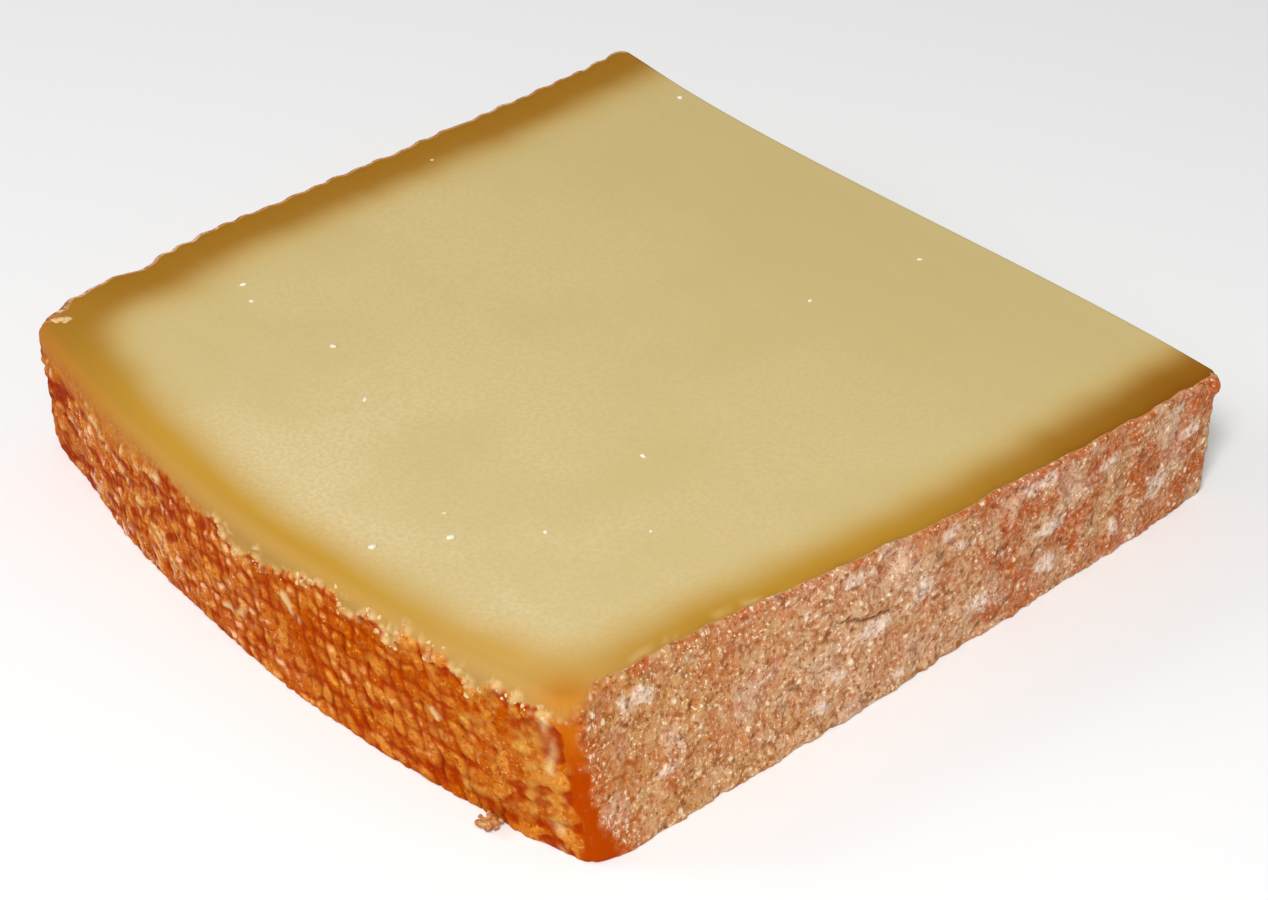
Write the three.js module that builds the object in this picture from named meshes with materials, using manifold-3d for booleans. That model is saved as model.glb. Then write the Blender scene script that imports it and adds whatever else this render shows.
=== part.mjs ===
// A slab of alpine cheese cut from a wheel, lying on one cut face with the other one up.
// Units are millimetres and +Z is up. X runs across the height of the wheel, from one flat rind to
// the other, and Y runs from the swollen heel of the wheel (-Y) towards its middle (+Y).
// The origin is the middle of the footprint, on the cut face that the slab rests on.
import * as THREE from 'three';
import { ImprovedNoise } from 'three/addons/math/ImprovedNoise.js';
import { mergeVertices } from 'three/addons/utils/BufferGeometryUtils.js';
import Module from 'manifold-3d';

// Driving dimensions
const WHEEL_HEIGHT = 108; // from one flat rind to the other
const RADIAL_LENGTH = 103; // from the heel's corners to the end cut
const HEEL_THICKNESS = 21; // of the slab at the heel's corners
const END_THICKNESS = 19; // of the slab at the end cut
const HEEL_BULGE_BASE = 7.3; // how far the heel swells past its corners, at the resting face
const HEEL_BULGE_TOP = 6.1; // and at the upper cut

// Rind relief
const WEAVE_PITCH = 2.3; // cell of the cloth imprint on the heel
const WEAVE_DEPTH = 0.6;
const WEAR_LENGTH = 9; // patches where the imprint is rubbed down
const WEAR_SHARE = 0.6;
const SWELL_LENGTH = 14; // slow unevenness of every rind
const SWELL_DEPTH = 0.4;
const CRUST_LENGTH = 3.4; // lumps of the flat rinds
const CRUST_DEPTH = 0.6;
const SCALLOP_PITCH = 3.7; // board marks along the far flat rind
const SCALLOP_DEPTH = 0.5;
const RELIEF_FADE = 4; // relief dies out this close to a corner
const NUB = { fromEnd: 1, height: END_THICKNESS - 1, rise: 1.1, reach: 1.8 }; // by the end cut
const CHIP = { fromEnd: 16, height: HEEL_THICKNESS, rise: -1.2, reach: 1.6 }; // near the heel
const SEED = { weave: 0.4, wear: 3.7, near: 5.2, far: 8.9 }; // picks a slice of the noise

// The scrap of rind that hangs off the heel's lower edge
const FLAKE_PLACE = 0.88; // share of the way along the heel
const FLAKE_REACH = 2.6; // half of its length, with its root sunk into the heel
const FLAKE_OUT = 0.5; // its middle is this far outside the heel
const FLAKE_WIDTH = 3.6;
const FLAKE_THICKNESS = 1.5;
const FLAKE_DROOP = 1.1; // how far both ends bend down
const FLAKE_CLEARANCE = 0.15; // above the resting face
const FLAKE_SEGMENTS = 12;

const HALF_X = WHEEL_HEIGHT / 2;
const HALF_Y = RADIAL_LENGTH / 2;
const WEAVE_COLUMNS = Math.round(WHEEL_HEIGHT / WEAVE_PITCH);
const WEAVE_ROWS = Math.round(HEEL_THICKNESS / WEAVE_PITCH);
const SCALLOPS = Math.round(RADIAL_LENGTH / SCALLOP_PITCH);
const STEPS_PER_CELL = 2; // of the wall's grid to a cell of the weave or to a scallop
const WALL_ROWS = STEPS_PER_CELL * WEAVE_ROWS;
const CORNER_STEPS = 3;
const CRUST_STEP = 1.6; // grid of the near flat rind
const CUT_STEP = 6; // grid of the smooth end cut

const noise = new ImprovedNoise();

// Corners of the slab's outline. Each level's offset moves it from the plain rectangle's corner,
// and round is how far the edge is rubbed off along each wall.
const CORNERS = {
  left: { at: [-HALF_X, -HALF_Y], base: [-0.4, 2.6], top: [3.4, -0.9], round: 1.2 },
  front: { at: [HALF_X, -HALF_Y], base: [-0.3, 0.3], top: [-4.1, -0.5], round: 2.6 },
  right: { at: [HALF_X, HALF_Y], base: [-0.7, 0.3], top: [0.2, -0.4], round: 0.5 },
  back: { at: [-HALF_X, HALF_Y], base: [-0.4, 0], top: [-1.3, -0.2], round: 0.7 },
};

// A rise or dip of the rind at one place on a wall.
function lump(along, up, length, { fromEnd, height, rise, reach }) {
  const distance = Math.hypot(along - (length - fromEnd), up - height);
  return rise * Math.exp(-((distance / reach) ** 2));
}

function swell(along, up, seed) {
  return SWELL_DEPTH * noise.noise(along / SWELL_LENGTH, up / SWELL_LENGTH, seed);
}

// The heel carries the print of the cloth that the wheel was pressed in: a grid of small cushions.
function clothImprint(along, up, length) {
  const acrossThread = Math.sin((Math.PI * along * WEAVE_COLUMNS) / length) ** 2;
  const downThread = Math.sin((Math.PI * up * WEAVE_ROWS) / HEEL_THICKNESS) ** 2;
  const wear = 1 - WEAR_SHARE * Math.abs(noise.noise(along / WEAR_LENGTH, up / WEAR_LENGTH, SEED.wear));
  return WEAVE_DEPTH * acrossThread * downThread * wear + swell(along, up, SEED.weave);
}

// The flat rinds are granular crust, lumpy at the scale of a lentil.
function crust(along, up, seed) {
  return CRUST_DEPTH * noise.noise(along / CRUST_LENGTH, up / CRUST_LENGTH, seed) + swell(along, up, seed);
}

function nearCrust(along, up, length) {
  return crust(along, up, SEED.near) + lump(along, up, length, NUB);
}

function farCrust(along, up, length) {
  const scallop = -SCALLOP_DEPTH * Math.cos((Math.PI * along * SCALLOPS) / length) ** 2;
  return scallop + crust(along, up, SEED.far) + lump(along, up, length, CHIP);
}

function noRelief() {
  return 0;
}

// Walls in order round the slab, seen from above, anticlockwise. Each level's two control points
// are given as a share of the way along the wall and a distance out from the straight line.
const BULGE_OF_CONTROLS = 0.75; // a cubic curve swells to this share of its two control points
const bulgeControls = (bulge) => [1 / 3, 2 / 3].map((share) => [share, bulge / BULGE_OF_CONTROLS]);
const endControls = [[0.31, 1.7], [0.73, -4.9]];
const WALLS = [
  { from: 'left', to: 'front', steps: STEPS_PER_CELL * WEAVE_COLUMNS,
    base: bulgeControls(HEEL_BULGE_BASE), top: bulgeControls(HEEL_BULGE_TOP), relief: clothImprint },
  { from: 'front', to: 'right', steps: Math.round(RADIAL_LENGTH / CRUST_STEP),
    base: [[0.33, 1], [0.67, 1]], top: [[0.155, -3.6], [0.39, 3.6]], relief: nearCrust },
  { from: 'right', to: 'back', steps: Math.round(WHEEL_HEIGHT / CUT_STEP),
    base: endControls, top: endControls, relief: noRelief },
  { from: 'back', to: 'left', steps: STEPS_PER_CELL * SCALLOPS,
    base: [[0.33, 0.3], [0.67, 0.3]], top: [[0.4, -0.6], [0.865, 5.4]], relief: farCrust },
];

function cornerPoint(name, level) {
  const { at, [level]: offset } = CORNERS[name];
  return new THREE.Vector2(at[0] + offset[0], at[1] + offset[1]);
}

function towards(start, target, distance) {
  return start.clone().addScaledVector(target.clone().sub(start).normalize(), distance);
}

// One wall's curve at one level, cut back from its corners by their rounding.
function wallCurve(wall, level) {
  const start = cornerPoint(wall.from, level);
  const end = cornerPoint(wall.to, level);
  const way = end.clone().sub(start);
  const outward = new THREE.Vector2(way.y, -way.x).normalize();
  const [first, second] = wall[level].map(([share, out]) =>
    start.clone().addScaledVector(way, share).addScaledVector(outward, out));
  const from = towards(start, first, CORNERS[wall.from].round);
  const to = towards(end, second, CORNERS[wall.to].round);
  return new THREE.CubicBezierCurve(from, first, second, to);
}

function fade(along, length) {
  return THREE.MathUtils.smoothstep(Math.min(along, length - along), 0, RELIEF_FADE);
}

// The closed outline at one level, as points that match from level to level. Each point knows its
// wall and how far along that wall it lies, so that the relief can be laid over it.
function outline(level) {
  const points = [];
  WALLS.forEach((wall, index) => {
    const curve = wallCurve(wall, level);
    const length = curve.getLength();
    curve.getSpacedPoints(wall.steps).forEach((point, step) => {
      points.push({ point, wall, length, along: (length * step) / wall.steps });
    });
    const next = wallCurve(WALLS[(index + 1) % WALLS.length], level);
    const corner = new THREE.QuadraticBezierCurve(curve.v3, cornerPoint(wall.to, level), next.v0);
    for (let step = 1; step < CORNER_STEPS; step += 1) {
      points.push({ point: corner.getPoint(step / CORNER_STEPS), wall, length, along: length });
    }
  });
  return points;
}

function topHeight(y) {
  return THREE.MathUtils.mapLinear(y, -HALF_Y, HALF_Y, HEEL_THICKNESS, END_THICKNESS);
}

// Rings of points from the resting face up to the upper cut, with the rind's relief pushed out.
function wallRings() {
  const base = outline('base');
  const top = outline('top');
  const count = base.length;
  const rings = [];
  for (let row = 0; row <= WALL_ROWS; row += 1) {
    const share = row / WALL_ROWS;
    const plan = base.map(({ point }, i) => point.clone().lerp(top[i].point, share));
    rings.push(plan.map((point, i) => {
      const before = plan[(i + count - 1) % count];
      const after = plan[(i + 1) % count];
      const outward = new THREE.Vector2(after.y - before.y, before.x - after.x).normalize();
      const { wall, along, length } = base[i];
      const up = share * HEEL_THICKNESS;
      const out = wall.relief(along, up, length) * fade(along, length);
      const { x, y } = point.clone().addScaledVector(outward, out);
      return new THREE.Vector3(x, y, share * topHeight(y));
    }));
  }
  return rings;
}

// The closed skin of the slab: the wall between its rings, and a flat cut face above and below.
function slabGeometry() {
  const rings = wallRings();
  const count = rings[0].length;
  const index = [];
  for (let row = 0; row < WALL_ROWS; row += 1) {
    for (let i = 0; i < count; i += 1) {
      const next = (i + 1) % count;
      const [a, b] = [row * count + i, row * count + next];
      const [c, d] = [b + count, a + count];
      const split = (row + i) % 2 ? [a, b, d, b, c, d] : [a, b, c, a, c, d];
      index.push(...split);
    }
  }
  const upper = WALL_ROWS * count;
  const flat = (ring) => ring.map(({ x, y }) => new THREE.Vector2(x, y));
  THREE.ShapeUtils.triangulateShape(flat(rings[WALL_ROWS]), []).forEach(([a, b, c]) => {
    index.push(upper + a, upper + b, upper + c);
  });
  THREE.ShapeUtils.triangulateShape(flat(rings[0]), []).forEach(([a, b, c]) => {
    index.push(a, c, b);
  });
  const geometry = new THREE.BufferGeometry().setFromPoints(rings.flat());
  geometry.setIndex(index);
  return geometry;
}

// The scrap is a flattened bead, half sunk into the heel, with its two ends bent down.
function flakeGeometry() {
  const heel = wallCurve(WALLS[0], 'base');
  const { x, y } = heel.getPointAt(FLAKE_PLACE);
  const tangent = heel.getTangentAt(FLAKE_PLACE);
  const geometry = new THREE.SphereGeometry(1, FLAKE_SEGMENTS, FLAKE_SEGMENTS / 2);
  geometry.scale(FLAKE_REACH, FLAKE_WIDTH / 2, FLAKE_THICKNESS / 2);
  const position = geometry.getAttribute('position');
  for (let i = 0; i < position.count; i += 1) {
    const droop = FLAKE_DROOP * (position.getX(i) / FLAKE_REACH) ** 2;
    position.setZ(i, position.getZ(i) - droop);
  }
  geometry.computeBoundingBox();
  geometry.translate(FLAKE_OUT, 0, FLAKE_CLEARANCE - geometry.boundingBox.min.z);
  geometry.rotateZ(Math.atan2(-tangent.x, tangent.y));
  return geometry.translate(x, y, 0);
}

const wasm = await Module();
wasm.setup();

function toSolid(geometry) {
  const skin = geometry.clone();
  skin.deleteAttribute('normal');
  skin.deleteAttribute('uv');
  const merged = mergeVertices(skin, 1e-4);
  return new wasm.Manifold(new wasm.Mesh({
    numProp: 3,
    vertProperties: new Float32Array(merged.getAttribute('position').array),
    triVerts: new Uint32Array(merged.index.array),
  }));
}

function toGeometry(solid) {
  const { vertProperties, triVerts } = solid.getMesh();
  const geometry = new THREE.BufferGeometry();
  geometry.setAttribute('position', new THREE.BufferAttribute(vertProperties, 3));
  geometry.setIndex(new THREE.BufferAttribute(triVerts, 1));
  return geometry;
}

// Moves the part so that its origin is the middle of its footprint.
function centred(geometry) {
  geometry.computeBoundingBox();
  const middle = geometry.boundingBox.getCenter(new THREE.Vector3());
  geometry.translate(-middle.x, -middle.y, -geometry.boundingBox.min.z);
  geometry.computeVertexNormals();
  return geometry;
}

const paste = new THREE.MeshStandardMaterial({ color: '#d2bc88', roughness: 0.5, metalness: 0 });
const solid = toSolid(slabGeometry()).add(toSolid(flakeGeometry()));
const slab = new THREE.Mesh(centred(toGeometry(solid)), paste);
slab.name = 'cheese_slab';

const cheese = new THREE.Group();
cheese.add(slab);

export default cheese;
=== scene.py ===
"""A slab of alpine cheese: its paste, its rinds, and the crumbs and crystals on it."""

import math

import bmesh
import bpy
import numpy as np
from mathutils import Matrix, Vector, geometry


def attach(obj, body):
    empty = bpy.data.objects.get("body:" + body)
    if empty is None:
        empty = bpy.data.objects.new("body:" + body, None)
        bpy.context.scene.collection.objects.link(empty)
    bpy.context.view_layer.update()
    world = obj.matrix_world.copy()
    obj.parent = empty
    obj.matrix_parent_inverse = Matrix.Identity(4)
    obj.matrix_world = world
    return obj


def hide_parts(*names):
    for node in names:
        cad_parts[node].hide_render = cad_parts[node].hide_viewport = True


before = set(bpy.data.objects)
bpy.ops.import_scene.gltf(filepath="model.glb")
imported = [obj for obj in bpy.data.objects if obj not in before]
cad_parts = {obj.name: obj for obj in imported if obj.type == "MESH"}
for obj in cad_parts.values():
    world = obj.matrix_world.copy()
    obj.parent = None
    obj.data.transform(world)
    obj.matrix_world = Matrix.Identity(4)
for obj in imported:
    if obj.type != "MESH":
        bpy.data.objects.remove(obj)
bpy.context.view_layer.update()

# The slab's outline
# A wire cut the slab out of a wheel: two long cuts are its upper and resting faces, and a short one
# is its end. The other three sides are the wheel's own rind. Both rims are read from the solid.
MM = 0.001  # sizes and places are in mm, unless a comment says otherwise
SLAB = "cheese_slab"
LEVEL = 0.9995  # a face this level belongs to a cut
RESTING = 0.1  # points below this belong to the resting face
CORNER_WAYS = ((-1, -1), (1, -1), (1, 1), (-1, 1))  # left, front, right and back corner
WALLS = ("heel", "near", "end", "far")  # anticlockwise from the left corner
GRID_STEP = {"heel": 0.27, "near": 0.28, "end": 1.0, "far": 0.5}  # between columns of the skin
SOFTENING = {"heel": 2.0, "near": 1.6, "end": 9.0, "far": 1.2}  # takes the facets off each wall

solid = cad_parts[SLAB].data
coordinates = np.zeros(3 * len(solid.vertices))
solid.vertices.foreach_get("co", coordinates)
solid_points = coordinates.reshape(-1, 3) / MM
middle_height = solid_points[:, 2].max() / 2


def cut_rim(side):
    """Points round one cut of the solid, anticlockwise: side is 1 for the upper cut, -1 for the lower."""
    level_faces = [face for face in solid.polygons if side * face.normal.z > LEVEL]
    level = {corner for face in level_faces for corner in face.vertices}
    rim = np.unique(solid_points[sorted(level)].round(3), axis=0)
    in_cut = rim[:, 2] > middle_height if side > 0 else rim[:, 2] < RESTING
    rim = rim[in_cut]
    return rim[np.argsort(np.arctan2(rim[:, 1], rim[:, 0]))]


def walls_of(rim):
    """The rim's four lines from corner to corner."""
    corners = [np.argmax(rim[:, 0] * x + rim[:, 1] * y) for x, y in CORNER_WAYS]
    lines = []
    for here, there in zip(corners, corners[1:] + corners[:1]):
        steps = np.arange((there - here) % len(rim) + 1)
        lines.append(rim[(here + steps) % len(rim)])
    return lines


def run_of(line):
    """How far along the line each of its points lies."""
    return np.r_[0, np.cumsum(np.linalg.norm(np.diff(line, axis=0), axis=1))]


def even_line(line, count, softening):
    """The line with count even steps, and its kinks softened over that length."""
    gone = run_of(line)
    even = np.linspace(0, gone[-1], count + 1)
    line = np.stack([np.interp(even, gone, line[:, axis]) for axis in range(3)], axis=1)
    reach = max(1, round(softening / (gone[-1] / count)))
    kernel = np.hanning(2 * reach + 3)[1:-1]
    before = 2 * line[0] - line[reach:0:-1]
    after = 2 * line[-1] - line[-2:-reach - 2:-1]
    padded = np.concatenate([before, line, after])
    smooth = [np.convolve(padded[:, axis], kernel / kernel.sum(), "valid") for axis in range(3)]
    return np.stack(smooth, axis=1)


lower_lines = walls_of(cut_rim(-1))
upper_lines = walls_of(cut_rim(1))
wall_columns = {
    wall: round(run_of(line)[-1] / GRID_STEP[wall]) for wall, line in zip(WALLS, lower_lines)
}


def ring_of(lines):
    """One closed ring of points round the slab, with the same columns at every level."""
    even = [even_line(line, wall_columns[wall], SOFTENING[wall]) for wall, line in zip(WALLS, lines)]
    return np.concatenate([line[:-1] for line in even])


lower_ring = ring_of(lower_lines)
upper_ring = ring_of(upper_lines)
wall_of_column = np.repeat(np.arange(len(WALLS)), [wall_columns[wall] for wall in WALLS])
wall_length = {wall: run_of(line)[-1] for wall, line in zip(WALLS, lower_lines)}
along_column = np.concatenate([
    np.arange(wall_columns[wall]) * wall_length[wall] / wall_columns[wall] for wall in WALLS
])

# The slab's sides
# They rise straight from the lower rim to the upper one. The wire leaves soft edges in the paste, and
# the corners are rubbed round. The grid of points here gets the relief of each rind.
ROW_STEP = 0.28
EDGE_ROWS = (0.05, 0.15, 0.3)  # extra rows for the rounding, this far from both edges
UPPER_ROUND = {"heel": 1.7, "near": 0.5, "end": 0.5, "far": 0.5}
LOWER_ROUND = {"heel": 0.6, "near": 0.4, "end": 0.5, "far": 0.4}
HEEL_ROUND_REACH = 9.0  # the heel's rounding runs out over this length of the flat rinds
CORNER_ROUND = 1.1
SKEW_LIMIT = 0.6  # a wall seen from the slab's centre is taken to face it at least this much

thickness = upper_ring[:, 2].mean()
edge_shares = [0, 1]
for edge_row in EDGE_ROWS:
    edge_shares += [edge_row / thickness, 1 - edge_row / thickness]
even_shares = np.linspace(0, 1, round(thickness / ROW_STEP) + 1)[2:-2]
row_share = np.sort(np.r_[edge_shares, even_shares])[:, None]
sides = lower_ring[None] * (1 - row_share[..., None]) + upper_ring[None] * row_share[..., None]
up = sides[..., 2]
below = upper_ring[None, :, 2] - up
along = np.broadcast_to(along_column, up.shape)
length_column = np.array([wall_length[WALLS[number]] for number in wall_of_column])
of_wall = {wall: wall_of_column == number for number, wall in enumerate(WALLS)}


def outward_of(way):
    """Unit vectors square to a way along the walls, pointing out of the slab."""
    out = np.stack([way[..., 1], -way[..., 0], np.zeros_like(up)], axis=-1)
    return out / np.linalg.norm(out, axis=-1, keepdims=True)


def ease(low, high, value):
    """0 below low, 1 above high, and a smooth rise between."""
    share = np.clip((value - low) / (high - low), 0, 1)
    return share * share * (3 - 2 * share)


def round_of(radii):
    """The radius of an edge at each column: the heel's runs out along both flat rinds."""
    radius = np.array([radii[WALLS[number]] for number in wall_of_column])
    for wall, from_heel in (("near", along_column), ("far", length_column - along_column)):
        heel_share = ease(HEEL_ROUND_REACH, 0, from_heel)
        radius = np.where(of_wall[wall], radius + (radii["heel"] - radius) * heel_share, radius)
    return radius


outward = outward_of(np.roll(sides, -1, axis=1) - np.roll(sides, 1, axis=1))
to_centre = -sides * (1, 1, 0)
to_centre /= np.linalg.norm(to_centre, axis=-1, keepdims=True)
wall_facing = outward_of(np.roll(sides, -1, axis=1) - sides)
facing = np.clip(-np.sum(to_centre * wall_facing, axis=-1), SKEW_LIMIT, 1)
inset = np.zeros_like(up)
for radius, gap in ((round_of(UPPER_ROUND), below), (round_of(LOWER_ROUND), up)):
    over = np.clip(radius - gap, 0, radius)
    inset += (radius - np.sqrt(radius ** 2 - over ** 2)) / facing
corner_gap = np.minimum(along_column, length_column - along_column)
inset += (math.sqrt(2) - 1) * CORNER_ROUND * np.clip(1 - corner_gap / CORNER_ROUND, 0, 1) ** 2

relief = np.zeros_like(up)
lip = np.zeros_like(up)  # how much the edge of a rind stands above the cut
# One of these marks holds the painted highlights on the heel's cushions and strokes.
MASKS = ("rind", "heel", "raised", "tone", "painted_highlight", "stain", "dark", "pale", "amber")
marks = {name: np.zeros_like(up) for name in MASKS}

# The heel's rind
# The wheel's outer side was pressed in coarse cloth, which left a grid of small cushions. Washing and
# ripening turned it orange. Its upper edge is torn, and bare ochre paste shows above the tear.
CLOTH_PITCH = 2.35  # between two rows of the imprint
THREAD_PITCH = ((0, 1.3), (28, 1.4), (52, 2.0), (108, 2.15))  # along, and from thread to thread there
CLOTH_LEAN = 0.2  # how far the threads drift along the heel, for each mm down
CLOTH_WANDER = (0.9, 11)  # the threads wander this far, over this length
CLOTH_SWAY = (0.5, 2.4)  # and sway this far, over this length
CLOTH_KINK = (0.34, 0.95)  # and have kinks of this depth and length
CUSHION_SHIFT = 0.16  # how far a cushion sits from the middle of its cell, as a share of the cell
CUSHION_SIZES = (0.6, 0.84)
CUSHION_RISE = 0.5
SLIT_DEPTH = 0.3
SLIT_WIDTH = 0.12  # as a share of the pitch
IMPRINT = (  # along the heel, and how deep the imprint is there
    (0, 0.1), (10, 0.25), (22, 0.55), (45, 0.95), (85, 1.0), (94, 0.6), (101, 0.3), (106, 0.2),
)
MOTTLE_RISE = 0.45  # rad, the smears near the front corner rise this much
# Stroke ridges are coloured with painted highlight, and the groove beside each with painted shade.
STROKE_FALL = 1.0  # rad, the brush strokes near the left corner fall this much
STROKE_SHADE = 0.45  # each stroke has a dark groove this far beside it
BRUSHED = ((8, 15), (50, 34))  # along, the strokes fade in over the first stretch and out over the second
STROKE_WIDTH = 0.6
STROKE_STRETCH = 0.3  # a stroke's width to its length
STROKE_RISE = 0.2
STROKE_DEPTH = 0.1
SMEAR_RISE = 0.4
TEAR = (  # along the heel, and how far below the upper cut the rind starts there
    (0, 3.0), (8, 4.4), (15, 5.0), (22, 5.2), (27, 4.4), (32, 3.8), (38, 1.4), (41, 2.4), (46, 3.2),
    (49.5, 1.5), (52, 4.0), (54.5, 4.6), (57, 3.2), (59.5, 3.6), (62, 2.8), (65, 1.9), (70, 1.0),
    (72, 0.7), (73.5, 2.3), (75.5, 2.9), (78.5, 0.6), (80.5, 1.6), (82, 3.2), (83.5, 1.0), (86, 0.6),
    (90.5, 0.7), (92.5, 2.5), (95, 2.8), (98, 1.2), (101, 1.6), (104, 2.1),
)
TEAR_TOP = 0.4  # the rind starts at least this far below the cut
TEAR_SOFTNESS = ((0, 2.2), (30, 1.4), (48, 0.25))  # along, and how softly the rind starts there
BARE_DEPTH = 0.3  # the bare paste lies this far behind the rind
STAINED_TO = (58, 36)  # along, the bare paste is stained orange up to here
FRAYED_FROM = (34, 50)  # along, the tear begins to fray here
FRAY_WIDTH = 0.34
FRAY_RISE = 0.35
TORN_RISE = 0.25
TORN_PASTE = (  # pale paste that the tear pulled up: along, below, half length and half height
    (51.5, 2.6, 1.5, 1.3), (53.6, 4.2, 1.1, 0.8), (56.6, 4.8, 1.3, 0.5), (58.2, 2.0, 1.3, 0.8),
    (60, 4, 1.5, 0.6), (62, 3.1, 1.2, 0.5), (66, 1.9, 1.9, 0.8), (69.6, 1.2, 1.0, 0.5),
    (73.2, 1.0, 1.2, 0.6), (75.2, 2.8, 2.0, 0.5), (79, 1.1, 1.3, 0.7), (81.6, 2.0, 1.2, 1.2),
    (83.2, 1.2, 1.8, 0.9), (89, 1.4, 1.4, 0.7), (92.5, 1.4, 1.4, 1.3), (94.2, 2.4, 1.3, 1.0),
    (98.8, 1.2, 1.2, 0.7), (100.8, 1.4, 1.4, 0.8), (104, 2.4, 1.8, 0.8), (106, 1.8, 1.0, 0.6),
)
GOLD_PATCHES = (  # where the smear wore thin
    (103.4, 6.8, 3.6, 5.0), (97, 3.0, 4.2, 1.6), (93.4, 8.0, 3.0, 1.1), (88, 12.6, 2.4, 0.9),
    (96, 12.0, 2.0, 0.7), (102.6, 13.4, 3.2, 2.6), (99.5, 17, 2.8, 1.4), (92, 17.6, 2.6, 1.2),
    (84.5, 2.6, 1.6, 1.4), (104.5, 16, 1.8, 2.2), (60.5, 2.2, 4.0, 1.2),
)
SCUFFS = (  # scraped lines: along and below, point by point
    ((16.5, 4), (22, 6.5), (27.5, 9), (33, 12), (38.5, 16.5)), ((24, 6.6), (27, 4.8)),
    ((33, 4.4), (36.5, 3.6)), ((9.5, 10.3), (14.5, 11)), ((4.5, 4), (5.5, 5)), ((49.5, 15.4), (54, 13.6)),
    ((62.6, 6), (64.6, 8.4)), ((55, 10.4), (56, 9.6)), ((87.4, 8.6), (88.2, 10)),
    ((11, 11.6), (13.6, 10.6)),
)
SCUFF_WIDTH = 1.05
SCUFF_RISE = 0.25
HEEL_AMBER = (  # below, and how far the amber runs from the front corner there
    (0, 1.1), (3, 1.4), (5, 1.0), (8, 0.5), (11, 0.8), (14, 0.9), (17, 0.8), (20, 1.3),
)
CORNER_LINE = (3.2, 0.7)  # how far a pale line runs from the front corner, and half its width
LUMP_TABLE = 256  # random heights each way, after which the lumps repeat
LUMP_START = (97.3, 41.7)  # where in that table a wall's own zero lies
DOME_CELLS = 128  # cells each way, after which the domes repeat
DOME_FULLNESS = (0.45, 1)


def lumps(first, second, size, seed):
    """Smooth random lumps between -1 and 1, about size mm across."""
    random = np.random.default_rng(seed)
    table = random.uniform(-1, 1, (LUMP_TABLE, LUMP_TABLE))
    turn = random.uniform(0, math.tau)
    x = (first * math.cos(turn) - second * math.sin(turn)) / size + LUMP_START[0]
    y = (first * math.sin(turn) + second * math.cos(turn)) / size + LUMP_START[1]
    column = np.floor(x).astype(int)
    row = np.floor(y).astype(int)
    x_share = ease(0, 1, x - column)
    y_share = ease(0, 1, y - row)
    left, right = column % LUMP_TABLE, (column + 1) % LUMP_TABLE
    low, high = row % LUMP_TABLE, (row + 1) % LUMP_TABLE
    lower = table[left, low] * (1 - x_share) + table[right, low] * x_share
    upper = table[left, high] * (1 - x_share) + table[right, high] * x_share
    return lower * (1 - y_share) + upper * y_share


def domes(across, down, shift, sizes, seed):
    """A soft dome in each cell of a grid, uneven in place and size: its height and tone, 0 to 1."""
    random = np.random.default_rng(seed)
    cells = (DOME_CELLS, DOME_CELLS)
    sideways, downward = random.uniform(-shift, shift, (2, *cells))
    half_width, half_height = random.uniform(*sizes, (2, *cells))
    full = random.uniform(*DOME_FULLNESS, cells)
    tones = random.uniform(0, 1, cells)
    left = np.floor(across).astype(int)
    top = np.floor(down).astype(int)
    height = np.zeros_like(across)
    tone = np.full_like(across, 0.5)
    for right_by in (-1, 0, 1):
        for down_by in (-1, 0, 1):
            cell = (left + right_by) % cells[0], (top + down_by) % cells[1]
            x = (across - left - right_by - 0.5 - sideways[cell]) / half_width[cell]
            y = (down - top - down_by - 0.5 - downward[cell]) / half_height[cell]
            here = full[cell] * np.exp(-2 * (x * x + y * y))
            tone = np.where(here > height, tones[cell], tone)
            height = np.maximum(height, here)
    return height, tone


def near_line(first, second, points):
    """How far a place on a wall lies from a line scratched through some points."""
    gaps = []
    for start, end in zip(np.array(points), np.array(points[1:])):
        run = end - start
        share = np.clip(((first - start[0]) * run[0] + (second - start[1]) * run[1]) / (run @ run), 0, 1)
        gaps.append(np.hypot(first - start[0] - share * run[0], second - start[1] - share * run[1]))
    return np.min(gaps, axis=0)


def cover_of(spots, first, second, ragged):
    """How much some spots cover each place, 0 to 1, with ragged edges."""
    cover = np.zeros_like(first)
    for place, depth, half_length, half_height in spots:
        gone = np.hypot((first - place) / half_length, (second - depth) / half_height)
        cover = np.maximum(cover, ease(1.2, 0.5, gone + ragged))
    return cover


columns = of_wall["heel"]
a, u, b = along[:, columns], up[:, columns], below[:, columns]
imprint = np.clip(np.interp(a, *np.transpose(IMPRINT)) * (0.85 + 0.35 * lumps(a, u, 8, 1)), 0, 1)
pitch = np.interp(a, *np.transpose(THREAD_PITCH))
threads_before = np.cumsum(GRID_STEP["heel"] / pitch, axis=1)
wander, wander_size = CLOTH_WANDER
sway, sway_size = CLOTH_SWAY
kink, kink_size = CLOTH_KINK
drift = wander * lumps(a, u, wander_size, 2) + sway * lumps(a, u, sway_size, 3) - CLOTH_LEAN * b
across = threads_before + drift / pitch
down = (b + wander * lumps(a, u, wander_size, 4) + sway * lumps(a, u, sway_size, 5)) / CLOTH_PITCH
kinked_across = across + kink * lumps(a, u, kink_size, 32) / pitch
kinked_down = down + kink * lumps(a, u, kink_size, 33) / CLOTH_PITCH
cushion, cushion_tone = domes(kinked_across, kinked_down, CUSHION_SHIFT, CUSHION_SIZES, 6)
cushion_height = CUSHION_RISE * imprint * cushion
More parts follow.
